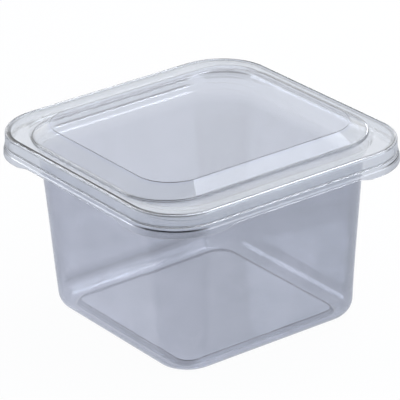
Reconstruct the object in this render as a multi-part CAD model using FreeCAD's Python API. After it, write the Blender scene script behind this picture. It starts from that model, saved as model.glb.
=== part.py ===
import FreeCAD, Part
import math
import os

# Hinged clamshell pack, thermoformed from one clear sheet: a deep tub and a lid that share a
# living hinge along the back edge.
# The origin is on the surface the pack stands on, under the middle of its outline.
# +Z is up, -Y is the opening side and +Y is the hinge side. All lengths are millimetres.

Vector = FreeCAD.Vector

# Sheet
sheet = 0.5
fit_gap = 0.3
side_gap = 0.4
level_tolerance = 1e-6

# How finely the section's bends are stepped: one more piece for each bend_step of the radius,
# and a plain corner where the radius is under least_bend
sharp = 0.0
least_bend = 0.65
bend_step = 1.8
most_pieces = 3

# Whole pack, seen from above
rim_half = 65.0
rim_corner = 24.0
rim_height = 81.0

# Lid: raised edge bead, flat rim and skirt
bead_rise = 0.4
bead_width = 1.6
bead_bend = 0.7
skirt_depth = 5.2
skirt_flare = 0.2

# Lid: raised centre panel, on a small step, inside a border that is wider at front and back
border_side = 13.3
border_front = 19.4
panel_corner = 16.5
panel_rise = 5.4
panel_slope = 5.4
panel_side_slope = 7.1
panel_bend = 1.2
step_width = 0.9
step_rise = 0.9

# Tub: mouth with three stacking steps under the rim
mouth_inset = 8.4
mouth_corner = 20.5
mouth_bend = 0.9
step_count = 3
tread = 1.0
first_riser = 2.6
riser = 2.5
riser_slope = 0.1

# Tub: walls, foot ring and raised floor
wall_taper = 5.4
foot_bend = 6.5
foot_ring = 7.4
floor_rise = 1.8
floor_slope = 1.2

# Tub: lip outside the skirt
ledge_reach = 0.45
ledge_bend = 0.6
ledge_height = 1.6
lip_reach = 1.1
lip_flare = 0.6
lip_side_depth = 8.4
lip_corner_depth = 10.0
scallop_half = 30.0
scallop_run = 9.0

# Living hinge on the back side
hinge_length = 70.0
hinge_axis_out = 0.5
web_outer = 0.6
web_sheet = 0.35
web_gap = 0.25
web_end_gap = 1.0
relief_inset = 0.1

# Snap buttons beside the corners
snap_place = 33.0
snap_radius = 1.6
snap_slope = 0.6
snap_height = 0.45
nub_height = 0.15

# Heights and half sizes that follow from the sizes above
rim_flat = rim_height - bead_rise
skirt_bottom = rim_height - skirt_depth
flange_top = rim_flat - sheet - fit_gap
ledge_top = skirt_bottom - fit_gap
lip_half = rim_half + lip_reach
ledge_half = rim_half + ledge_reach
collar_half = rim_half - sheet - side_gap
mouth_half = rim_half - mouth_inset
wall_half = mouth_half - step_count * tread
panel_half_x = rim_half - border_side
panel_half_y = rim_half - border_front
hinge_y = rim_half + hinge_axis_out
hinge_z = (skirt_bottom + ledge_top) / 2
snap_z = (skirt_bottom + rim_flat) / 2


def ring(half_x, half_y, corner, z):
    """One level outline of the sheet: a rectangle with round corners."""
    return (half_x, half_y, corner, z)


def square_ring(half, z, corner=None):
    """A level outline that is square and, unless told otherwise, concentric with the rim."""
    if corner is None:
        corner = rim_corner + half - rim_half
    return ring(half, half, corner, z)


def along(start, end, share):
    """The outline that lies the given share of the way from one outline to another."""
    return tuple(a + (b - a) * share for a, b in zip(start, end))


def section_step(start, end):
    """Length and direction of the section from one outline to the next."""
    out = end[0] - start[0]
    up = end[3] - start[3]
    length = math.hypot(out, up)
    return length, out / length, up / length


def offset_section(section, distance):
    """The section moved sideways, to the right of its direction, with its bends kept parallel."""
    moved = []
    last = len(section) - 1
    for i, (outline, bend) in enumerate(section):
        before = section[max(i - 1, 0)][0]
        after = section[min(i + 1, last)][0]
        _, out_a, up_a = section_step(before, outline) if i > 0 else section_step(outline, after)
        _, out_b, up_b = section_step(outline, after) if i < last else (0, out_a, up_a)
        turn = out_a * up_b - up_a * out_b
        scale = distance / (1 + out_a * out_b + up_a * up_b)
        out = (up_a + up_b) * scale
        up = -(out_a + out_b) * scale
        half_x, half_y, corner, z = outline
        new_bend = sharp
        if bend > 0:
            new_bend = bend + math.copysign(distance, turn)
        if new_bend < least_bend:
            new_bend = sharp
        moved.append((ring(half_x + out, half_y + out, corner + out, z + up), new_bend))
    return moved


def bent_section(section):
    """The outlines after the first, with each corner that has a bend radius rounded by an arc."""
    outlines = []
    for (before, _), (corner, bend), (after, _) in zip(section, section[1:], section[2:]):
        if bend <= 0:
            outlines.append(corner)
            continue
        length_a, out_a, up_a = section_step(before, corner)
        length_b, out_b, up_b = section_step(corner, after)
        turn = math.acos(max(-1.0, min(1.0, out_a * out_b + up_a * up_b)))
        reach = bend * math.tan(turn / 2)
        start = along(corner, before, reach / length_a)
        end = along(corner, after, reach / length_b)
        weight = math.cos(turn / 2)
        pieces = min(most_pieces, 1 + int(bend / bend_step))
        for k in range(pieces + 1):
            s = k / pieces
            shares = ((1 - s) ** 2, 2 * s * (1 - s) * weight, s ** 2)
            total = sum(shares)
            outlines.append(tuple(sum(w * v for w, v in zip(shares, values)) / total
                                  for values in zip(start, corner, end)))
    outlines.append(section[-1][0])
    return outlines


def outline_wire(outline):
    """A closed wire of four straight sides and four quarter circles."""
    half_x, half_y, corner, z = outline
    edges = []
    corners = ((1, 1), (-1, 1), (-1, -1), (1, -1))
    for i, (side_x, side_y) in enumerate(corners):
        middle = Vector(side_x * (half_x - corner), side_y * (half_y - corner), z)
        start = math.radians(90 * i)
        points = [middle + Vector(math.cos(start + a), math.sin(start + a), 0) * corner
                  for a in (0, math.pi / 4, math.pi / 2)]
        edges.append(Part.Arc(*points).toShape())
        next_x, next_y = corners[(i + 1) % 4]
        end = math.radians(90 * (i + 1))
        next_start = Vector(next_x * (half_x - corner), next_y * (half_y - corner), z)
        next_start += Vector(math.cos(end), math.sin(end), 0) * corner
        edges.append(Part.LineSegment(points[2], next_start).toShape())
    return Part.Wire(edges)


def strip_between(wire, other):
    """The faces that join one outline to the next: a level ring, or sloping sides."""
    if abs(wire.CenterOfMass.z - other.CenterOfMass.z) < level_tolerance:
        return [Part.makeFace([wire, other], "Part::FaceMakerBullseye")]
    return Part.makeLoft([wire, other], False, True).Faces


def formed_sheet(section, thickness):
    """A solid sheet whose upper skin is the section carried round the outline.

    The section's first outline lies in the flat middle and only gives its direction there.
    """
    upper = bent_section(section)
    lower = bent_section(offset_section(section, thickness))
    wires = [outline_wire(outline) for outline in upper + lower[::-1]]
    faces = [Part.Face(wires[0]), Part.Face(wires[-1])]
    for wire, other in zip(wires, wires[1:]):
        faces += strip_between(wire, other)
    skin = Part.makeCompound(faces)
    skin.sewShape()
    solid = Part.makeSolid(skin.Shells[0])
    if solid.Volume < 0:
        solid.reverse()
    return solid


def block(low, high):
    """A box from its lowest corner to its highest."""
    size = [b - a for a, b in zip(low, high)]
    return Part.makeBox(*size, Vector(*low))


def prism(profile, start, length):
    """A closed profile of points (across, up) in the XZ plane, carried along Y."""
    points = [Vector(x, start, z) for x, z in profile]
    face = Part.Face(Part.makePolygon(points + points[:1]))
    return face.extrude(Vector(0, length, 0))


def turned(shape, degrees):
    """The shape turned about the pack's upright middle line."""
    copy = shape.copy()
    copy.rotate(Vector(0, 0, 0), Vector(0, 0, 1), degrees)
    return copy


def button(radius, height, place, degrees):
    """A shallow blunt cone that stands out from a side wall, given its place (across, out, up)."""
    across, out, z = place
    root = sheet / 2
    slope = snap_slope / height
    cone = Part.makeCone(radius + slope * root, radius - snap_slope, height + root,
                         Vector(across, root - out, z), Vector(0, -1, 0))
    return turned(cone, degrees)


def snap_spots():
    """Places along a side and turns of the side for every snap button."""
    front = [(place, 0) for place in (-snap_place, snap_place)]
    sides = [(place, turn) for turn in (-90, 90) for place in (-snap_place, snap_place)]
    return front + sides


def mouth_ring(half, z):
    """A square level outline whose corners are concentric with those of the tub's mouth."""
    return square_ring(half, z, mouth_corner + half - mouth_half)


def wall_ring(half, z):
    """A square level outline whose corners are concentric with those at the top of the wall."""
    return square_ring(half, z, mouth_corner + half - wall_half)


def tub_section():
    """The tub's upper skin, from the edge of the floor panel out to the end of the lip."""
    foot_half = wall_half - wall_taper
    panel_half = foot_half - foot_ring
    panel_z = sheet + floor_rise
    wall_top = flange_top - first_riser - riser * (step_count - 1)
    section = [(wall_ring(panel_half - 2 * floor_slope, panel_z), sharp),
               (wall_ring(panel_half - floor_slope, panel_z), sharp),
               (wall_ring(panel_half, sheet), sharp),
               (wall_ring(foot_half, sheet), foot_bend),
               (wall_ring(wall_half, wall_top), sharp)]
    for k in range(1, step_count):
        half = wall_half + k * tread
        section += [(square_ring(half - riser_slope, wall_top + (k - 1) * riser, mouth_corner), sharp),
                    (square_ring(half, wall_top + k * riser, mouth_corner), sharp)]
    section += [(square_ring(mouth_half - riser_slope, flange_top - first_riser, mouth_corner), sharp),
                (mouth_ring(mouth_half, flange_top), mouth_bend),
                (mouth_ring(mouth_half + 2 * mouth_bend, flange_top), sharp),
                (square_ring(collar_half - 2 * bead_bend, flange_top), sharp),
                (square_ring(collar_half, flange_top), bead_bend),
                (square_ring(collar_half + skirt_flare, ledge_top), sharp),
                (square_ring(ledge_half, ledge_top), ledge_bend),
                (square_ring(ledge_half, ledge_top - ledge_height), sharp),
                (square_ring(lip_half - skirt_flare, ledge_top - ledge_height - lip_flare), sharp),
                (square_ring(lip_half, rim_height - lip_corner_depth), sharp)]
    return section


def lid_section():
    """The lid's upper skin, from the edge of the raised panel out to the end of the skirt."""
    foot_x = panel_half_x + panel_side_slope
    foot_y = panel_half_y + panel_slope
    foot_corner = panel_corner + panel_slope
    panel_z = rim_flat + panel_rise
    step_z = rim_flat + step_rise
    bead_half = rim_half - bead_width
    return [(ring(panel_half_x - panel_bend, panel_half_y - panel_bend,
                  panel_corner - panel_bend, panel_z), sharp),
            (ring(panel_half_x, panel_half_y, panel_corner, panel_z), panel_bend),
            (ring(foot_x, foot_y, foot_corner, step_z), sharp),
            (ring(foot_x + step_width, foot_y + step_width, foot_corner + step_width, step_z), sharp),
            (ring(foot_x + step_width, foot_y + step_width, foot_corner + step_width, rim_flat), sharp),
            (square_ring(bead_half - bead_rise, rim_flat), sharp),
            (square_ring(bead_half, rim_height), sharp),
            (square_ring(rim_half, rim_height), bead_bend),
            (square_ring(rim_half + skirt_flare, skirt_bottom), sharp)]


def lip_scallop():
    """What the lip's free edge lacks along the front side: it is deeper at the corners only."""
    top = rim_height - lip_side_depth
    bottom = rim_height - lip_corner_depth - sheet
    end = scallop_half + scallop_run
    profile = [(-end, bottom), (-scallop_half, top), (scallop_half, top), (end, bottom)]
    return prism(profile, -lip_half - sheet, lip_half - collar_half + 2 * sheet)


def hinge_web():
    """The folded web of the living hinge: a half tube with a short root in the tub's ledge."""
    inner = web_outer - web_sheet
    axis_start = Vector(-hinge_length / 2, hinge_y, hinge_z)
    along_x = Vector(1, 0, 0)
    tube = Part.makeCylinder(web_outer, hinge_length, axis_start, along_x)
    tube = tube.cut(Part.makeCylinder(inner, hinge_length, axis_start, along_x))
    half = block((-hinge_length / 2, hinge_y, hinge_z - web_outer),
                 (hinge_length / 2, hinge_y + web_outer, hinge_z + web_outer))
    root = block((-hinge_length / 2, collar_half, hinge_z - web_outer),
                 (hinge_length / 2, hinge_y, hinge_z - inner))
    return tube.common(half).fuse(root)


def make_tub():
    """Tub, lip and hinge web."""
    solid = formed_sheet(tub_section(), sheet)
    for k in range(4):
        solid = solid.cut(turned(lip_scallop(), 90 * k))
    relief_y = rim_half - relief_inset
    relief = block((-rim_half, relief_y, rim_height - lip_corner_depth - sheet),
                   (rim_half, lip_half + sheet, rim_height))
    solid = solid.cut(relief).fuse(hinge_web())
    for place, degrees in snap_spots():
        spot = (place, collar_half + skirt_flare / 2, snap_z)
        solid = solid.fuse(button(snap_radius - sheet, nub_height, spot, degrees))
    return solid


def make_lid():
    """Lid with its skirt, the thickened hinge edge and the snap buttons."""
    solid = formed_sheet(lid_section(), sheet)
    end = hinge_length / 2 + web_end_gap
    hinge_bottom = hinge_z + web_outer + web_gap
    notch = block((-end, collar_half, skirt_bottom - sheet), (end, lip_half, hinge_bottom))
    edge = block((-end, rim_half - sheet, hinge_bottom), (end, hinge_y, rim_height - bead_bend))
    edge = edge.makeFillet(hinge_axis_out / 2, [e for e in edge.Edges if is_long_outer_edge(e)])
    solid = solid.cut(notch).fuse(edge)
    for place, degrees in snap_spots():
        out = rim_half + skirt_flare / 2
        bump = button(snap_radius, snap_height, (place, out, snap_z), degrees)
        pocket = button(snap_radius - sheet / 2, snap_height, (place, out - sheet, snap_z), degrees)
        solid = solid.fuse(bump).cut(pocket)
    return solid


def is_long_outer_edge(edge):
    """Whether an edge of the hinge edge strip runs along it on the outside."""
    middle = edge.CenterOfMass
    return edge.Length > hinge_length and middle.y > rim_half


os.makedirs("parts", exist_ok=True)
for name, make in (("tub", make_tub), ("lid", make_lid)):
    piece = make()
    print(name, piece.ShapeType, len(piece.Solids), len(piece.Faces), piece.isValid(), piece.Volume)
    piece.exportStep("parts/" + name + ".step")
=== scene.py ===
import math
import bpy
import numpy as np
from mathutils import Matrix, Vector


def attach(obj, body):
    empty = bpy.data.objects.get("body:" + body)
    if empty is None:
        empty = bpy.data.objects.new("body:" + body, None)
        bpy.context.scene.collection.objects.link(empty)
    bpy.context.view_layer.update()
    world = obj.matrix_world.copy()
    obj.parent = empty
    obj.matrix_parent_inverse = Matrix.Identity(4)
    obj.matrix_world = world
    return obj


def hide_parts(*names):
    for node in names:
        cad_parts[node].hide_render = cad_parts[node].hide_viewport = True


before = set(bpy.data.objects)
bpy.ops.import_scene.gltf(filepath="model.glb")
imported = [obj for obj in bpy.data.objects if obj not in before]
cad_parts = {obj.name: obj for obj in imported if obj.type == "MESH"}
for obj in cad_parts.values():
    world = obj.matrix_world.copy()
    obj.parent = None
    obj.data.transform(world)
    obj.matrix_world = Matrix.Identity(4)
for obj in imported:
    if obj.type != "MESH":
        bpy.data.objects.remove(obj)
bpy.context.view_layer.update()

mm = 0.001
print("frame loaded")


def addObject(name, data):
    thing = bpy.data.objects.new(name, data)
    bpy.context.scene.collection.objects.link(thing)
    return thing


# Sheet sizes, in millimetres, that the tub and the lid share

sheetSizes = {
    "thickness": 0.5,
    "fitGap": 0.3,          # between the lid's rim and the tub's flange under it
    "sideGap": 0.4,         # between the lid's skirt and the tub's collar inside it
    "rimHalf": 65.0,        # from the pack's middle to the skirt
    "rimCorner": 24.0,
    "rimHeight": 81.0,      # from the ground to the top of the bead round the lid
    "skirtDepth": 5.2,
    "skirtFlare": 0.2,
    "beadRise": 0.4,
    "beadBend": 0.7,
}

outlineSteps = {
    "corner": 20,           # steps round each corner
    "side": 26,             # even steps along each side
    "snapPlace": 33.0,      # where the closer steps for a snap button are, from a side's middle
    "snapReach": 2.6,       # how far they go to either side, in millimetres
    "snapStep": 0.4,
}

sectionSteps = {
    "perDegree": 1 / 13,    # steps of a bend for each degree that it turns
    "longest": 4.5,         # longest step on a straight run
    "hold": 0.12,           # distance of the extra step that keeps a flat run flat beside a bend
    "holdShare": 0.3,       # a run where that is more than this share of it gets no steps
    "shortest": 1e-6,       # the least length that a run counts as, so that nothing is over zero
    "leastBend": 0.1,       # the least radius that a bend keeps on the other skin
    "panelRings": 14,       # rings of the flat middle
}


# A sheet formed over a mould: a section carried round a rectangle with round corners

def outlineSamples():
    # One turn anticlockwise, as arrays: which corner centre a sample belongs to, sliding from
    # one corner's sign pair to the next along the straight sides, and its outward direction
    n = outlineSteps["corner"]
    straight = sheetSizes["rimHalf"] - sheetSizes["rimCorner"]
    places = np.linspace(-straight, straight, outlineSteps["side"] + 1)[:-1]
    snap, reach, step = (outlineSteps[k] for k in ("snapPlace", "snapReach", "snapStep"))
    near = np.arange(-reach, reach + step / 2, step)
    places = np.concatenate([places[np.abs(np.abs(places) - snap) > reach],
                             near - snap, near + snap])
    share = (np.sort(places) / straight + 1) / 2
    signs = np.array([(1, 1), (-1, 1), (-1, -1), (1, -1)], float)
    centres, angles = [], []
    for i in range(4):
        centres += [np.repeat(signs[i:i + 1], n, axis=0),
                    signs[i] + (signs[(i + 1) % 4] - signs[i]) * share[:, None]]
        angles += [90 * i + 90 * np.arange(n) / n, np.full(len(share), 90.0 * (i + 1))]
    turn = np.radians(np.concatenate(angles))
    return np.concatenate(centres), np.stack([np.cos(turn), np.sin(turn)], axis=1)


def runDirections(rows):
    # Length and unit direction (outward, upward) of each run of the section
    out = np.diff(rows[:, 0])
    up = np.diff(rows[:, 3])
    length = np.hypot(out, up)
    return length, out / length, up / length


def offsetRows(rows, distance):
    # Every corner of the section moves along the line that halves its angle, by the distance
    # over the cosine of half the turn, and its bend grows or shrinks by the distance
    _, out, up = runDirections(rows)
    outA, outB = np.r_[out[:1], out], np.r_[out, out[-1:]]
    upA, upB = np.r_[up[:1], up], np.r_[up, up[-1:]]
    scale = distance / (1 + outA * outB + upA * upB)
    side, rise = (upA + upB) * scale, -(outA + outB) * scale
    moved = rows.copy()
    moved[:, :3] += side[:, None]
    moved[:, 3] += rise
    grown = rows[:, 4] + distance * np.sign(outA * upB - upA * outB)
    moved[:, 4] = np.where(rows[:, 4] > 0, np.maximum(grown, sectionSteps["leastBend"]), 0)
    return moved


def straightSteps(start, end):
    # Even steps along a straight run, with one more close to each of its ends
    length = math.hypot(end[0] - start[0], end[3] - start[3])
    hold = sectionSteps["hold"] / max(length, sectionSteps["shortest"])
    if hold > sectionSteps["holdShare"]:
        return np.empty((0, 5))
    count = int(length / sectionSteps["longest"]) + 1
    shares = np.r_[hold, np.arange(1, count) / count, 1 - hold]
    steps = start + (end - start) * shares[:, None]
    steps[:, 4] = min(start[4], end[4])
    return steps


def bentSection(rows):
    # The section's rings: each bend is a true arc between its tangent points, written as a
    # rational quadratic with the cosine of half the turn as its middle weight
    length, out, up = runDirections(rows)
    ring = rows[:, [0, 1, 2, 3, 5]]
    rings = [ring[:1]]
    for i in range(1, len(rows) - 1):
        corner, bend = ring[i], rows[i, 4]
        turn = math.acos(np.clip(out[i - 1] * out[i] + up[i - 1] * up[i], -1, 1))
        reach = bend * math.tan(turn / 2)
        start = corner + (ring[i - 1] - corner) * reach / length[i - 1]
        end = corner + (ring[i + 1] - corner) * reach / length[i]
        count = max(2, int(math.degrees(turn) * sectionSteps["perDegree"]) + 1)
        s = np.linspace(0, 1, count + 1)[:, None]
        weights = [(1 - s) ** 2, 2 * s * (1 - s) * math.cos(turn / 2), s ** 2]
        arc = (weights[0] * start + weights[1] * corner + weights[2] * end) / sum(weights)
        arc[:, 4] = corner[4]
        rings += [straightSteps(rings[-1][-1], start), arc if bend > 0 else corner[None]]
    rings += [straightSteps(rings[-1][-1], ring[-1]), ring[-1:]]
    return np.concatenate(rings)


def panelRings(ring):
    # Rings of the flat middle, from its centre out: the same outline at growing scales
    scale = np.linspace(0, 1, sectionSteps["panelRings"] + 1)[:-1, None]
    return np.concatenate([ring[:3] * scale, np.full_like(scale, ring[3]), 0 * scale], axis=1)


def formedSheet(rows, shape):
    # Closed skin of the sheet: upper skin from the centre out, round the free edge, and the
    # lower skin back to the centre. A point is the centre of its corner, whose distance from
    # the middle is the ring's half size less its corner radius, plus that radius times the
    # outward direction, at the ring's height. shape then moves the points and changes their
    # painted crease shade, given each point's ring, its skin and its outward direction
    upper = bentSection(rows)
    lower = bentSection(offsetRows(rows, sheetSizes["thickness"]))
    upper = np.concatenate([panelRings(upper[0]), upper])
    lower = np.concatenate([panelRings(lower[0]), lower])
    rings = np.concatenate([upper, lower[::-1]])
    isUpper = np.r_[np.ones(len(upper), bool), np.zeros(len(lower), bool)]
    centre, outward = outlineSamples()
    reach = rings[:, :2] - rings[:, 2:3]
    points = np.empty((len(rings), len(centre), 3))
    points[:, :, :2] = reach[:, None] * centre + rings[:, 2][:, None, None] * outward
    points[:, :, 2] = rings[:, 3:4]
    creaseShade = np.repeat(rings[:, 4:], len(centre), axis=1)
    shape(points, rings, isUpper, outward, creaseShade)
    return points, creaseShade


def closedMesh(name, sheet):
    # A tube of rings whose first and last ring are single points, as one closed mesh that faces
    # outwards, with the painted crease shade as an attribute
    points, creaseShade = sheet
    count, around = points.shape[:2]
    inner = points[1:-1].reshape(-1, 3)
    vertices = np.concatenate([points[0, :1], inner, points[-1, :1]]) * mm
    index = 1 + np.arange((count - 2) * around).reshape(count - 2, around)
    ahead = np.roll(index, -1, axis=1)
    quads = np.stack([index[:-1], index[1:], ahead[1:], ahead[:-1]], axis=-1).reshape(-1, 4)
    first = np.stack([np.zeros(around, int), index[0], ahead[0]], axis=1)
    last = np.stack([np.full(around, len(vertices) - 1), ahead[-1], index[-1]], axis=1)
    faces = quads.tolist() + first.tolist() + last.tolist()
    corners = vertices[quads]
    volume = np.einsum("ij,ij->i", corners[:, 0], np.cross(corners[:, 1], corners[:, 2])).sum()
    volume += np.einsum("ij,ij->i", corners[:, 0], np.cross(corners[:, 2], corners[:, 3])).sum()
    if volume < 0:
        faces = [face[::-1] for face in faces]
    mesh = bpy.data.meshes.new(name)
    mesh.from_pydata(vertices.tolist(), [], faces)
    mesh.shade_smooth()
    marks = mesh.attributes.new("creaseShade", "FLOAT", "POINT")
    marks.data.foreach_set("value", np.r_[creaseShade[0, 0], creaseShade[1:-1].ravel(), creaseShade[-1, 0]])
    return addObject(name, mesh)


def smoothStep(value, low, high):
    # 0 below low, 1 above high and a cubic between them
    t = np.clip((value - low) / (high - low), 0, 1)
    return t * t * (3 - 2 * t)


def alongSide(points, outward):
    # Place along the side that each outward direction is nearest to
    x, y = points[:, :, 0], points[:, :, 1]
    onX = np.abs(outward[:, 0]) > np.abs(outward[:, 1])
    return np.where(onX, y, x)


def cornerShare(outward, full):
    # 0 on the flat sides; towards the corner's middle the lesser part of the outward direction
    # grows, and from full on the share is 1
    return smoothStep(np.abs(outward).min(axis=1), 0, full)


# Section rows are (half width, half depth, corner radius, height, bend radius, crease); the
# crease is painted shade: how dark the bend is painted, from 0 to 1, in place of the dark of
# the room that clear sheet shows at a tight bend

def squareRow(half, z, bend=0.0, creaseShade=0.0, corner=None):
    if corner is None:
        corner = sheetSizes["rimCorner"] + half - sheetSizes["rimHalf"]
    return (half, half, corner, z, bend, creaseShade)


rimFlat = sheetSizes["rimHeight"] - sheetSizes["beadRise"]
skirtBottom = sheetSizes["rimHeight"] - sheetSizes["skirtDepth"]
flangeTop = rimFlat - sheetSizes["thickness"] - sheetSizes["fitGap"]
ledgeTop = skirtBottom - sheetSizes["fitGap"]
collarHalf = sheetSizes["rimHalf"] - sheetSizes["thickness"] - sheetSizes["sideGap"]
onFlat = 0.999          # an outward direction with a part above this is a flat side's
onBack = 0.5            # one whose y is above this belongs to the hinge side


# Tub

tubSizes = {
    # Mouth and stacking steps; the steps run out at stepsHalf along the hinge side, and the plain
    # slope beyond turns into the mouth over these depths under the flange
    "mouthInset": 8.4, "mouthCorner": 20.5, "mouthBend": 0.9,
    "stepCount": 3, "tread": 1.0, "firstRiser": 2.6, "riser": 2.5, "riserSlope": 0.1,
    "stepBend": 0.48,
    "stepsHalf": 38.0, "stepsRun": 5.0, "slopeEnd": (1.4, 0.4),
    "stepsBelow": 1.0, "stepsInside": 0.3, "stepsOutside": 0.2,     # rings this near are steps
    # Walls and floor
    "wallTaper": 5.4, "footBend": 6.5, "footRing": 7.4,
    "floorRise": 1.8, "floorSlope": 1.2, "floorBend": 0.6,
    # Ledge under the skirt, and lip; under the fold of the hinge the lip draws in and up, and
    # that ends so far past the straight part of the side
    "ledgeReach": 0.45, "ledgeBend": 0.6, "ledgeHeight": 1.6, "collarFoot": 0.25,
    "lipReach": 1.1, "lipFlare": 0.6, "lipBend": 0.5,
    "lipSideDepth": 8.4, "lipCornerDepth": 10.0, "scallopHalf": 30.0, "scallopRun": 9.0,
    "reliefInset": 0.1, "reliefDraw": 0.35, "reliefLift": 0.97, "reliefEnd": (4.0, 9.0),
    "reliefMargin": 0.05,
    # Painted shade: how dark bends and corners are painted, from 0 to 1
    "floorLine": 0.28, "stepLine": 0.9, "seamLine": 0.5, "lipLine": 1.0,
    "cornerShade": 0.08, "lipShade": 0.22,
    # How soon into a corner its shade is full, for cornerShare
    "wallCorner": 0.25, "lipCorner": 0.5,
    # A soft painted dark line along the hinge side, at the height of the foot's bend
    "foldHeight": 6.2, "foldReach": 0.9, "foldLine": 0.3, "foldSide": (0.9, 1.0),
    # How far the flat walls and the floor wander from true, as drawn sheet does; the heights where
    # that starts and ends on the walls, and the half widths where it ends on the floor
    "wave": 0.16, "waveLow": (4, 16), "waveHigh": (58, 70), "waveFloor": (30, 38),
    # Lengths of the waves, in mm for each radian along the side and up the wall, and how each
    # side's direction shifts them, so that no two sides are the same
    "slowWave": (13, 11), "slowTurn": (2, 1.3),
    "quickWave": (7.1, 17), "quickTurn": -1.7, "quickShift": 0.8, "quickShare": 0.6,
    "floorWave": (12, 14), "floorShift": (0.5, -0.4),
    # Where the parts of the sheet are: the walls and floor are narrower than wallReach, the floor
    # is lower than floorPart, and all of the rim is higher than rimPart
    "wallReach": 54.0, "floorPart": 3.0, "rimPart": 60.0,
}


mouthHalf = sheetSizes["rimHalf"] - tubSizes["mouthInset"]
wallHalf = mouthHalf - tubSizes["stepCount"] * tubSizes["tread"]
wallTop = flangeTop - tubSizes["firstRiser"] - tubSizes["riser"] * (tubSizes["stepCount"] - 1)


def tubRows():
    # The tub's section from its middle out: floor panel, foot, wall, steps, mouth, flange,
    # collar, ledge and lip, as straight runs between corners that the bends then round
    t = tubSizes
    footHalf = wallHalf - t["wallTaper"]
    panelHalf = footHalf - t["footRing"]
    floorTop = sheetSizes["thickness"] + t["floorRise"]
    lipHalf = sheetSizes["rimHalf"] + t["lipReach"]
    ledgeHalf = sheetSizes["rimHalf"] + t["ledgeReach"]

    def wallRow(half, z, bend=0.0, creaseShade=0.0):
        return squareRow(half, z, bend, creaseShade, t["mouthCorner"] + half - wallHalf)

    def stepRow(half, z, bend, creaseShade=0.0):
        return squareRow(half, z, bend, creaseShade, t["mouthCorner"])

    rows = [wallRow(panelHalf - 3 * t["floorSlope"], floorTop),
            wallRow(panelHalf - t["floorSlope"], floorTop, t["floorBend"], t["floorLine"]),
            wallRow(panelHalf, sheetSizes["thickness"], t["floorBend"], t["floorLine"]),
            wallRow(footHalf, sheetSizes["thickness"], t["footBend"]),
            wallRow(wallHalf, wallTop, t["stepBend"])]
    for k in range(1, t["stepCount"]):
        half = wallHalf + k * t["tread"]
        rows += [stepRow(half - t["riserSlope"], wallTop + (k - 1) * t["riser"], t["stepBend"],
                         t["stepLine"]),
                 stepRow(half, wallTop + k * t["riser"], t["stepBend"])]
    rows += [stepRow(mouthHalf - t["riserSlope"], flangeTop - t["firstRiser"], t["stepBend"],
                     t["stepLine"]),
             stepRow(mouthHalf, flangeTop, t["mouthBend"]),
             stepRow(mouthHalf + 2 * t["mouthBend"], flangeTop, 0.0),
             squareRow(collarHalf - 2 * sheetSizes["beadBend"], flangeTop),
             squareRow(collarHalf, flangeTop, sheetSizes["beadBend"]),
             squareRow(collarHalf + sheetSizes["skirtFlare"], ledgeTop, t["collarFoot"],
                       t["seamLine"]),
             squareRow(ledgeHalf, ledgeTop, t["ledgeBend"]),
             squareRow(ledgeHalf, ledgeTop - t["ledgeHeight"], t["lipBend"], t["lipLine"]),
             squareRow(lipHalf - sheetSizes["skirtFlare"],
                       ledgeTop - t["ledgeHeight"] - t["lipFlare"], t["lipBend"]),
             squareRow(lipHalf, sheetSizes["rimHeight"] - t["lipCornerDepth"])]
    return np.array(rows)


def shapeLip(points, rings, isUpper, outward):
    # The lip's free edge is shallower along each side than at the corners: a point rises by the
    # difference in depth times its share of the way down the lip. Along the hinge side the lip
    # draws in to the edge of the relief, most of all at its top, and up to the ledge
    t = tubSizes
    x, y, z = points[:, :, 0], points[:, :, 1], points[:, :, 2]
    along = np.abs(alongSide(points, outward))
    lipBottom = sheetSizes["rimHeight"] - t["lipCornerDepth"]
    lipTop = ledgeTop - t["ledgeHeight"] - t["lipFlare"]
    outside = (rings[:, 0] > sheetSizes["rimHalf"])[:, None]
    share = np.clip((lipTop - z) / (lipTop - lipBottom), 0, 1) * outside
    lift = 1 - smoothStep(along, t["scallopHalf"], t["scallopHalf"] + t["scallopRun"])
    z += share * lift * (t["lipCornerDepth"] - t["lipSideDepth"])

    straight = sheetSizes["rimHalf"] - sheetSizes["rimCorner"]
    start, end = t["reliefEnd"]
    back = (outward[:, 1] > 0) * (1 - smoothStep(np.abs(x), straight + start, straight + end))
    lip = outside & (z < ledgeTop + t["reliefMargin"])
    skinTop = np.where(isUpper, ledgeTop, ledgeTop - sheetSizes["thickness"])[:, None]
    fall = np.clip((skinTop - z) / (ledgeTop - lipBottom), 0, 1)
    backY = sheetSizes["rimHalf"] - t["reliefInset"] - t["reliefDraw"] * (1 - fall)
    y += np.where(lip, back * (np.minimum(y, backY) - y), 0)
    z += np.where(lip, back * (skinTop - z) * t["reliefLift"], 0)


def runOutSteps(points, rings, isUpper, outward, creaseShade):
    # Away from the hinge side each point of the stacking steps moves out or in to the straight
    # line from the top of the wall to the mouth, and its painted crease shade goes
    t = tubSizes
    x, z = points[:, :, 0], points[:, :, 2]
    thickness = sheetSizes["thickness"]
    half, height = rings[:, 0], rings[:, 3]
    steps = (height > wallTop - t["stepsBelow"]) & (height < flangeTop)
    steps &= half > wallHalf - t["stepsInside"]
    steps &= half < mouthHalf + thickness + t["stepsOutside"]
    slope = np.clip((z - wallTop) / (flangeTop - wallTop), 0, 1) * (mouthHalf - wallHalf)
    plainHalf = wallHalf + slope + np.where(isUpper, 0, thickness)[:, None]
    onHinge = 1 - smoothStep(np.abs(x), t["stepsHalf"] - t["stepsRun"], t["stepsHalf"])
    plain = (1 - (outward[:, 1] > onBack) * onHinge) * steps[:, None]
    start, end = t["slopeEnd"]
    plain = plain * (1 - smoothStep(z, flangeTop - start, flangeTop - end))
    points[:, :, :2] += (plain * (plainHalf - rings[:, :1]))[:, :, None] * outward
    creaseShade *= 1 - plain


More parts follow.
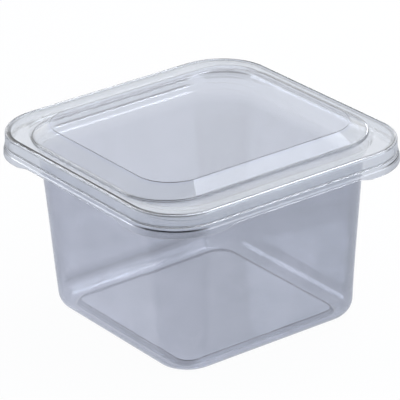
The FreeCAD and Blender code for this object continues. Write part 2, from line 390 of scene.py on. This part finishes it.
def wallWave(side, z, turn):
    # The product of two slow sines, of the place along the side and of the height, and a share
    # of the product of a quicker sine and a cosine of the same; the way the wall faces shifts all
    t = tubSizes
    slow = (np.sin(side / t["slowWave"][0] + t["slowTurn"][0] * turn)
            * np.sin(z / t["slowWave"][1] + t["slowTurn"][1] * turn))
    quick = (np.sin(side / t["quickWave"][0] + t["quickTurn"] * turn + t["quickShift"])
             * np.cos(z / t["quickWave"][1] + turn))
    return slow + t["quickShare"] * quick


def shapeTub(points, rings, isUpper, outward, creaseShade):
    # The lip and the steps take their shapes. The painted dark line at the kink above the lip is
    # kept at the corners only, where the lip is painted darker too. The flat walls move in by half
    # of wave times one plus wallWave, and the floor moves up and down by wave times a sine of x
    # times a sine of y. The corners of the wall get painted shade, and at the hinge side a painted
    # dark line does too, which falls off on both sides as a bell curve of height
    t = tubSizes
    shapeLip(points, rings, isUpper, outward)
    runOutSteps(points, rings, isUpper, outward, creaseShade)
    x, y, z = points[:, :, 0], points[:, :, 1], points[:, :, 2]
    outside = (rings[:, 0] > sheetSizes["rimHalf"])[:, None]
    lipHeights = (rings[:, 3] < ledgeTop - t["ledgeHeight"] / 2) & (rings[:, 3] > t["rimPart"])
    kink = lipHeights[:, None]
    corner = cornerShare(outward, t["lipCorner"])
    creaseShade *= np.where(kink, corner, 1)
    creaseShade += kink * outside * t["lipShade"] * corner

    narrow = (rings[:, 0] < t["wallReach"])[:, None]
    wall = smoothStep(z, *t["waveLow"]) * (1 - smoothStep(z, *t["waveHigh"])) * narrow
    turn = np.arctan2(outward[:, 1], outward[:, 0])
    wave = wallWave(alongSide(points, outward), z, turn)
    points[:, :, :2] -= (t["wave"] * wall * (0.5 + 0.5 * wave))[:, :, None] * outward
    creaseShade += wall * t["cornerShade"] * cornerShare(outward, t["wallCorner"])
    fold = np.exp(-((z - t["foldHeight"]) / t["foldReach"]) ** 2)
    creaseShade += fold * smoothStep(outward[:, 1], *t["foldSide"]) * t["foldLine"] * narrow
    floor = 1 - smoothStep(np.maximum(np.abs(x), np.abs(y)), *t["waveFloor"])
    floor = floor * (z < t["floorPart"])
    z += floor * t["wave"] * (np.sin(x / t["floorWave"][0] + t["floorShift"][0])
                              * np.sin(y / t["floorWave"][1] + t["floorShift"][1]))


# Lid

lidSizes = {
    # Raised panel, the small step at its foot, and how far its middle hangs, with a ripple whose
    # waves are in mm for each radian
    "borderSide": 13.3, "borderFront": 19.4,
    "panelCorner": 16.5, "panelRise": 5.4, "panelSlope": 5.4, "panelSideSlope": 7.1,
    "panelBend": 0.6, "panelFoot": 0.7, "panelMargin": 0.1,
    "stepWidth": 0.9, "stepRise": 0.9, "stepBend": 0.15, "footFlat": 0.5,
    "sag": 0.22, "ripple": 0.25, "rippleWave": (15, 12), "rippleShift": (0.7, 0.3),
    # Edge bead, and the painted dark line beside its crease
    "beadWidth": 1.0, "beadCrease": 0.3, "lineWidth": 1.0, "beadShoulder": 0.9, "beadFlat": 2.8,
    # Hinge edge of the skirt, snap buttons, and where the skirt is: in from the rim and under it
    "hingeHalf": 36.0, "hingeRun": 1.5, "hingeOut": 0.3, "hingeLift": 0.7, "hingeSoft": 0.4,
    "snapRadius": 1.6, "snapTop": 0.35, "snapHeight": 0.45,
    "skirtIn": 1.0, "skirtUnder": 0.8,
    # Painted shade: how dark bends and corners are painted, from 0 to 1; the painted line beside
    # the bead is even all round but for the side that faces left, where it is painted darker
    "beadLine": 1.0, "footLine": 0.6, "slopeLine": 0.15, "edgeLine": 0.6,
    "skirtShade": 0.06, "skirtCorner": 0.5,
    "evenCrease": 0.2, "leftSideShade": 0.8, "creaseStart": 8.6, "creaseUnder": 1.0,
}


panelX = sheetSizes["rimHalf"] - lidSizes["borderSide"]
panelY = sheetSizes["rimHalf"] - lidSizes["borderFront"]


def lidRows():
    # The lid's section from its middle out: raised panel, its slope and the step at its foot,
    # flat rim, edge bead and skirt
    t = lidSizes
    panelTop = rimFlat + t["panelRise"]
    stepTop = rimFlat + t["stepRise"]
    footX = panelX + t["panelSideSlope"]
    footY = panelY + t["panelSlope"]
    footCorner = t["panelCorner"] + t["panelSlope"]
    beadHalf = sheetSizes["rimHalf"] - t["beadWidth"]

    def panelRow(grow, z, bend=0.0, creaseShade=0.0):
        return (panelX + grow, panelY + grow, t["panelCorner"] + grow, z, bend, creaseShade)

    def footRow(grow, z, bend=0.0, creaseShade=0.0):
        return (footX + grow, footY + grow, footCorner + grow, z, bend, creaseShade)

    return np.array([panelRow(-2 * t["panelBend"], panelTop),
                     panelRow(0, panelTop, t["panelBend"]),
                     footRow(0, stepTop, t["panelFoot"], t["slopeLine"]),
                     footRow(t["stepWidth"], stepTop, t["stepBend"]),
                     footRow(t["stepWidth"], rimFlat, t["stepBend"], t["footLine"]),
                     footRow(t["stepWidth"] + t["footFlat"], rimFlat),
                     squareRow(beadHalf - t["beadFlat"], rimFlat),
                     squareRow(beadHalf - sheetSizes["beadRise"] - t["lineWidth"], rimFlat, 0.0,
                               t["beadLine"]),
                     squareRow(beadHalf - sheetSizes["beadRise"], rimFlat, t["beadCrease"],
                               t["beadLine"]),
                     squareRow(beadHalf, sheetSizes["rimHeight"], t["beadCrease"]),
                     squareRow(sheetSizes["rimHalf"], sheetSizes["rimHeight"], t["beadShoulder"]),
                     squareRow(sheetSizes["rimHalf"] + sheetSizes["skirtFlare"], skirtBottom,
                               creaseShade=t["edgeLine"])])


def shapeLid(points, rings, isUpper, outward, creaseShade):
    # Snap buttons stand out of the skirt as round bumps, whose height is a cubic of the distance
    # to their middle. Along the hinge the skirt is thicker and shorter. It is painted darker at
    # the corners. The painted line beside the bead darkens with the cube of how far it faces left.
    # The raised panel hangs by sag times 1 less x squared times 1 less y squared, x and y as
    # shares of its half sizes, and by a ripple on that, a sine of x times a sine of y
    t = lidSizes
    x, y, z = points[:, :, 0], points[:, :, 1], points[:, :, 2]
    rimHalf, rimHeight = sheetSizes["rimHalf"], sheetSizes["rimHeight"]
    half, height = rings[:, 0], rings[:, 3]
    skirt = (half > rimHalf - t["skirtIn"])[:, None] & (z < rimHeight - t["skirtUnder"])
    away = np.abs(alongSide(points, outward)) - outlineSteps["snapPlace"]
    distance = np.hypot(away, z - (skirtBottom + rimFlat) / 2)
    bump = 1 - smoothStep(distance, t["snapTop"] * t["snapRadius"], t["snapRadius"])
    onSide = (outward[:, 1] < onBack) & (np.abs(outward).max(axis=1) > onFlat)
    points[:, :, :2] += (bump * t["snapHeight"] * skirt * onSide)[:, :, None] * outward
    creaseShade += skirt * t["skirtShade"] * cornerShare(outward, t["skirtCorner"])
    beadLineShade = t["evenCrease"] + t["leftSideShade"] * np.maximum(-outward[:, 0], 0) ** 3
    bead = (height > rimHeight - t["creaseUnder"]) & (half > panelX + t["creaseStart"])
    creaseShade *= np.where(bead[:, None], beadLineShade, 1)

    hinge = 1 - smoothStep(np.abs(x), t["hingeHalf"], t["hingeHalf"] + t["hingeRun"])
    hinge = (outward[:, 1] > onFlat) * hinge
    low = np.clip((rimFlat - z) / (rimFlat - skirtBottom), 0, 1) * skirt
    thicker = smoothStep(low, 0, t["hingeSoft"]) * t["hingeOut"] * hinge
    y += np.where(isUpper[:, None], thicker, 0)
    z += low * hinge * t["hingeLift"]

    top = z > rimFlat + t["panelRise"] - sheetSizes["thickness"] - t["panelMargin"]
    across = np.clip(1 - (x / panelX) ** 2, 0, 1) * np.clip(1 - (y / panelY) ** 2, 0, 1)
    ripple = t["ripple"] * (np.sin(x / t["rippleWave"][0] + t["rippleShift"][0])
                            * np.sin(y / t["rippleWave"][1] + t["rippleShift"][1]))
    z -= top * t["sag"] * across * (1 + ripple)


# Living hinge: the fold between tub and lid, a thin strip bent into half a tube

webSizes = {
    "length": 70.0,
    "outer": 0.6,           # radius of the fold's outer skin
    "sheet": 0.35,          # thickness of the strip
    "axisOut": 0.5,         # from the rim out to the hinge's axis
    "rootIn": 0.75,         # from the axis in to the strip's root
    "bendSteps": 14, "alongSteps": 40,
}


def webStrip():
    # Profile of the strip: out along the root, and round a half circle, whose points are the
    # axis plus the radius times the cosine and sine of the turn. It goes forward on the outer
    # skin and back on the inner one, and is carried along the hinge
    w = webSizes
    hingeY = sheetSizes["rimHalf"] + w["axisOut"]
    hingeZ = (skirtBottom + ledgeTop) / 2
    turn = np.radians(np.linspace(-90, 90, w["bendSteps"] + 1))

    def skin(radius):
        root = [(hingeY - w["rootIn"], hingeZ - radius)]
        bend = np.stack([hingeY + radius * np.cos(turn), hingeZ + radius * np.sin(turn)], axis=1)
        return np.concatenate([root, bend])

    outer, inner = skin(w["outer"]), skin(w["outer"] - w["sheet"])
    profile = np.concatenate([outer, inner[::-1]])
    along = np.linspace(-w["length"] / 2, w["length"] / 2, w["alongSteps"] + 1)
    points = np.empty((len(along), len(profile), 3))
    points[:, :, 0] = along[:, None]
    points[:, :, 1:] = profile
    return points, len(outer)


def webMesh(name):
    # The strip's skin, with a row of faces across the sheet to close each end
    points, half = webStrip()
    count, around = points.shape[:2]
    index = np.arange(count * around).reshape(count, around)
    ahead = np.roll(index, -1, axis=1)
    faces = np.stack([index[:-1], ahead[:-1], ahead[1:], index[1:]], axis=-1)
    faces = faces.reshape(-1, 4).tolist()
    k = np.arange(half - 1)
    for row, flip in ((index[0], 1), (index[-1], -1)):
        cap = np.stack([row[k], row[around - 1 - k], row[around - 2 - k], row[k + 1]], axis=1)
        faces += cap[:, ::flip].tolist()
    mesh = bpy.data.meshes.new(name)
    mesh.from_pydata((points.reshape(-1, 3) * mm).tolist(), [], faces)
    mesh.shade_smooth()
    return addObject(name, mesh)


# Materials

def linearColour(hexText):
    # sRGB hex to linear: the power curve of the standard, with its short straight foot
    parts = [int(hexText[i:i + 2], 16) / 255 for i in (1, 3, 5)]
    return [p / 12.92 if p <= 0.04045 else ((p + 0.055) / 1.055) ** 2.4 for p in parts]


def addNode(tree, kind, settings=None, links=None):
    # A node with its settings; a link goes from an output to the named or numbered input
    node = tree.nodes.new(kind)
    for key, value in (settings or {}).items():
        if isinstance(key, int) or key in node.inputs:
            node.inputs[key].default_value = value
        else:
            setattr(node, key, value)
    for key, source in (links or {}).items():
        tree.links.new(source, node.inputs[key])
    return node


def emptyTree(owner):
    owner.use_nodes = True
    owner.node_tree.nodes.clear()
    return owner.node_tree


def mixColour(tree, share, first, second):
    # From the first colour to the second; each is a hex text or a node's output
    mix = addNode(tree, "ShaderNodeMix", {"data_type": "RGBA"}, {0: share})
    for socket, colour in ((mix.inputs[6], first), (mix.inputs[7], second)):
        if isinstance(colour, str):
            socket.default_value = (*linearColour(colour), 1)
        else:
            tree.links.new(colour, socket)
    return mix.outputs[2]


petLook = {
    "wallTint": "#DBDDE2",      # blue-grey where the sheet is drawn deep
    "wallTintPale": "#ECEDF3",
    "rimTint": "#FDFEFF",       # hardly any at the rim, where it is flat and glassy
    "lidTint": "#F6F8FE",
    "creaseShadeColour": "#141821",    # painted shade: the dark of the room that a tight bend shows, painted into the colour
    # Heights in mm where one tint turns into the next
    "wallTop": 66.0, "rimStart": 73.0, "rimEnd": 84.8, "lidStart": 85.6,
    # Cloudy patches of the wall: millimetres across one, and the look of the noise
    "cloudSize": 26.0, "cloudDetail": 2.0, "cloudSwirl": 0.8, "cloudRange": (0.35, 0.65),
    "cloudShare": 0.35,         # the rest of the change in tint runs across the whole pack
    # The wall's tint is deepest this way from the middle and palest the other way, so many mm off
    "deepSide": (0.81, -0.59, 0.0), "deepReach": 58.0,
    "depthTint": "#BBBFC9",     # what is left of light after a way through sheet
    "density": 35.0,            # per metre of sheet that light goes through
    "clear": 0.98,              # share that goes straight through each skin; the rest is haze
    "roughness": 0.035,
    "ior": 1.5,
    # Soft waves of drawn sheet: millimetres between them, and their height and share in the bump
    "waveSize": 24.0, "waveDetail": 1.5, "waveRough": 0.4, "waveDepth": 0.10, "waveShare": 0.5,
    "shadowTint": "#FBFCFD",    # what shadows keep of the light
}


def thermoformedPet():
    # Clear PET, vacuum formed: glassy and a little wavy, with a cloudy blue-grey cast on the
    # drawn walls, which is paler towards one side of the pack, and painted shade: dark lines
    # painted along tight bends and in corners, where clear sheet shows the dark of the room
    p = petLook
    material = bpy.data.materials.new("thermoformedPet")
    tree = emptyTree(material)
    place = addNode(tree, "ShaderNodeTexCoord")
    wave = addNode(tree, "ShaderNodeTexNoise",
                   {"Scale": 1 / (p["waveSize"] * mm), "Detail": p["waveDetail"],
                    "Roughness": p["waveRough"]},
                   {"Vector": place.outputs["Object"]})
    bump = addNode(tree, "ShaderNodeBump",
                   {"Strength": p["waveShare"], "Distance": p["waveDepth"] * mm},
                   {"Height": wave.outputs["Fac"]})

    cloud = addNode(tree, "ShaderNodeTexNoise",
                    {"Scale": 1 / (p["cloudSize"] * mm), "Detail": p["cloudDetail"],
                     "Distortion": p["cloudSwirl"]},
                    {"Vector": place.outputs["Object"]})
    patch = addNode(tree, "ShaderNodeMapRange",
                    {"From Min": p["cloudRange"][0], "From Max": p["cloudRange"][1]},
                    {"Value": cloud.outputs["Fac"]})
    along = addNode(tree, "ShaderNodeVectorMath", {"operation": "DOT_PRODUCT", 1: p["deepSide"]},
                    {0: place.outputs["Object"]})
    thin = addNode(tree, "ShaderNodeMapRange",
                   {"From Min": p["deepReach"] * mm, "From Max": -p["deepReach"] * mm},
                   {"Value": along.outputs["Value"]})
    thinner = addNode(tree, "ShaderNodeMix", {0: p["cloudShare"]},
                      {2: thin.outputs[0], 3: patch.outputs[0]})
    wall = mixColour(tree, thinner.outputs[0], p["wallTint"], p["wallTintPale"])
    height = addNode(tree, "ShaderNodeSeparateXYZ", None, {0: place.outputs["Object"]})
    rim = addNode(tree, "ShaderNodeMapRange",
                  {"From Min": p["wallTop"] * mm, "From Max": p["rimStart"] * mm},
                  {"Value": height.outputs["Z"]})
    wallAndRim = mixColour(tree, rim.outputs[0], wall, p["rimTint"])
    lid = addNode(tree, "ShaderNodeMapRange",
                  {"From Min": p["rimEnd"] * mm, "From Max": p["lidStart"] * mm},
                  {"Value": height.outputs["Z"]})
    withLid = mixColour(tree, lid.outputs[0], wallAndRim, p["lidTint"])
    # Painted shade: the mesh's crease values take the colour towards the dark crease colour
    creaseShade = addNode(tree, "ShaderNodeAttribute", {"attribute_name": "creaseShade"})
    tint = mixColour(tree, creaseShade.outputs["Fac"], withLid, p["creaseShadeColour"])

    glass = addNode(tree, "ShaderNodeBsdfPrincipled",
                    {"Roughness": p["roughness"], "IOR": p["ior"],
                     "Transmission Weight": p["clear"]},
                    {"Normal": bump.outputs["Normal"], "Base Color": tint})
    clear = addNode(tree, "ShaderNodeBsdfTransparent",
                    {"Color": (*linearColour(p["shadowTint"]), 1)})
    path = addNode(tree, "ShaderNodeLightPath")
    mixed = addNode(tree, "ShaderNodeMixShader", None,
                    {0: path.outputs["Is Shadow Ray"], 1: glass.outputs[0], 2: clear.outputs[0]})
    inside = addNode(tree, "ShaderNodeVolumeAbsorption",
                     {"Color": (*linearColour(p["depthTint"]), 1), "Density": p["density"]})
    addNode(tree, "ShaderNodeOutputMaterial", None,
            {"Surface": mixed.outputs[0], "Volume": inside.outputs[0]})
    return material


clearSheet = thermoformedPet()
print("materials ready")


def dress(piece, body, replaced=None):
    piece.data.materials.append(clearSheet)
    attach(piece, body)
    if replaced:
        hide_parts(replaced)


dress(closedMesh("tubSheet", formedSheet(tubRows(), shapeTub)), "tub", "tub")
print("tub formed")
dress(closedMesh("lidSheet", formedSheet(lidRows(), shapeLid)), "lid", "lid")
print("lid formed")
dress(webMesh("hingeWeb"), "tub")
print("hinge formed")


# Stage, lights and camera

stage = {
    "floorSize": 8.0, "floorColour": "#F2F2F3",
    "eyeShare": 0.94,           # how far the floor goes to plain white, to the eye
    "glassShare": 0.7,          # and through clear sheet
    "glossColour": "#CFD3DC",   # in gloss it goes all the way to this
    "skyLight": 0.3, "lampColour": "#EEF4FF",
    "lampAim": (0.0, 0.0, 0.05),
    # The room, as gloss and clear sheet show it: the way to its bright side, and how far towards
    # that a direction is where it starts to brighten and where it is white
    "brightSide": (0.53, 0.72, 0.45), "darkFrom": -0.55, "brightFrom": 0.35,
    "nearColour": "#6C7486", "farColour": "#FFFFFF",
    # Light has to get through many skins of clear sheet
    "bounces": 24, "glossBounces": 8,
}


def paleFloor():
    # White to the eye, and still shaded where the pack stands on it; clear sheet shows it paler
    # than it is lit, and gloss shows it grey, so that edges seen aslant stay darker than it
    material = bpy.data.materials.new("paleFloor")
    tree = emptyTree(material)
    lit = addNode(tree, "ShaderNodeBsdfDiffuse",
                  {"Color": (*linearColour(stage["floorColour"]), 1)})
    path = addNode(tree, "ShaderNodeLightPath")
    pale = mixColour(tree, path.outputs["Is Glossy Ray"], "#FFFFFF", stage["glossColour"])
    white = addNode(tree, "ShaderNodeEmission", {"Strength": 1.0}, {"Color": pale})
    through = addNode(tree, "ShaderNodeMath",
                      {"operation": "MULTIPLY_ADD", 1: stage["glassShare"]},
                      {0: path.outputs["Is Transmission Ray"], 2: path.outputs["Is Glossy Ray"]})
    share = addNode(tree, "ShaderNodeMath", {"operation": "MULTIPLY_ADD", 1: stage["eyeShare"]},
                    {0: path.outputs["Is Camera Ray"], 2: through.outputs[0]})
    mixed = addNode(tree, "ShaderNodeMixShader", None,
                    {0: share.outputs[0], 1: lit.outputs[0], 2: white.outputs[0]})
    addNode(tree, "ShaderNodeOutputMaterial", None, {"Surface": mixed.outputs[0]})
    mesh = bpy.data.meshes.new("studioFloor")
    half = stage["floorSize"] / 2
    mesh.from_pydata([(-half, -half, 0), (half, -half, 0), (half, half, 0), (-half, half, 0)], [],
                     [(0, 1, 2, 3)])
    mesh.materials.append(material)
    floor = addObject("studioFloor", mesh)


def skyLight():
    # White to the eye; in gloss and clear sheet it runs from white on the far side of the room
    # to slate on the near side, which draws dark lines along the bends
    world = bpy.data.worlds.new("studio")
    bpy.context.scene.world = world
    tree = emptyTree(world)
    path = addNode(tree, "ShaderNodeLightPath")
    place = addNode(tree, "ShaderNodeTexCoord")
    along = addNode(tree, "ShaderNodeVectorMath",
                    {"operation": "DOT_PRODUCT", 1: stage["brightSide"]},
                    {0: place.outputs["Generated"]})
    far = addNode(tree, "ShaderNodeMapRange",
                  {"From Min": stage["darkFrom"], "From Max": stage["brightFrom"]},
                  {"Value": along.outputs["Value"]})
    room = mixColour(tree, far.outputs[0], stage["nearColour"], stage["farColour"])
    through = addNode(tree, "ShaderNodeMath", {"operation": "MAXIMUM"},
                      {0: path.outputs["Is Glossy Ray"], 1: path.outputs["Is Transmission Ray"]})
    seen = addNode(tree, "ShaderNodeMath", {"operation": "MAXIMUM"},
                   {0: through.outputs[0], 1: path.outputs["Is Camera Ray"]})
    colour = mixColour(tree, through.outputs[0], "#FFFFFF", room)
    strength = addNode(tree, "ShaderNodeMapRange", {"To Min": stage["skyLight"], "To Max": 1.0},
                       {"Value": seen.outputs[0]})
    sky = addNode(tree, "ShaderNodeBackground", None,
                  {"Color": colour, "Strength": strength.outputs[0]})
    addNode(tree, "ShaderNodeOutputWorld", None, {"Surface": sky.outputs[0]})


softBoxes = {
    # name: (direction from the aim point, distance, width, height, watts), in metres
    "keySoftBox": ((0.53, -0.57, 0.62), 1.6, 1.3, 1.3, 14.5),
    "topSoftBox": ((0.35, 0.2, 0.9), 1.4, 0.6, 0.6, 2.5),
    "leftStrip": ((-0.53, 0.732, 0.43), 1.5, 0.7, 0.5, 4.5),
    "rightStrip": ((0.53, 0.12, 0.83), 1.5, 0.7, 0.8, 10.0),
}


def softBox(name, direction, distance, width, height, watts):
    # A rectangular lamp at that distance from the aim point, turned to face it
    lamp = bpy.data.lights.new(name, "AREA")
    lamp.shape = "RECTANGLE"
    lamp.size, lamp.size_y, lamp.energy = width, height, watts
    lamp.color = linearColour(stage["lampColour"])
    box = addObject(name, lamp)
    towards = Vector(direction).normalized()
    box.location = Vector(stage["lampAim"]) + towards * distance
    box.rotation_euler = towards.to_track_quat("Z", "Y").to_euler()


cameraView = {
    "azimuth": 35.880, "elevation": 24.582, "roll": -1.8,   # degrees
    "aim": (0.00094, 0.00261, 0.04883), "distance": 1.3224,         # metres
    "lens": 283.8, "sensor": 36.0, "clip": (0.05, 50),
}


def photoCamera():
    # Stands back from the aim point against the view direction, then turns by the roll
    v = cameraView
    azimuth, elevation = math.radians(v["azimuth"]), math.radians(v["elevation"])
    ahead = Vector((math.sin(azimuth) * math.cos(elevation),
                    math.cos(azimuth) * math.cos(elevation), -math.sin(elevation)))
    data = bpy.data.cameras.new("photoCamera")
    data.lens, data.sensor_width = v["lens"], v["sensor"]
    data.clip_start, data.clip_end = v["clip"]
    camera = addObject("photoCamera", data)
    camera.location = Vector(v["aim"]) - ahead * v["distance"]
    turn = ahead.to_track_quat("-Z", "Y").to_matrix().to_4x4()
    roll = Matrix.Rotation(math.radians(v["roll"]), 4, "Z")
    camera.rotation_euler = (turn @ roll).to_euler()
    bpy.context.scene.camera = camera


paleFloor()
skyLight()
for name, box in softBoxes.items():
    softBox(name, *box)
photoCamera()

scene = bpy.context.scene
scene.view_settings.view_transform = "Standard"
scene.cycles.max_bounces = stage["bounces"]
scene.cycles.transmission_bounces = stage["bounces"]
scene.cycles.transparent_max_bounces = stage["bounces"]
scene.cycles.glossy_bounces = stage["glossBounces"]
scene.cycles.caustics_reflective = False
scene.cycles.caustics_refractive = False
scene.cycles.use_denoising = True
print("stage ready")
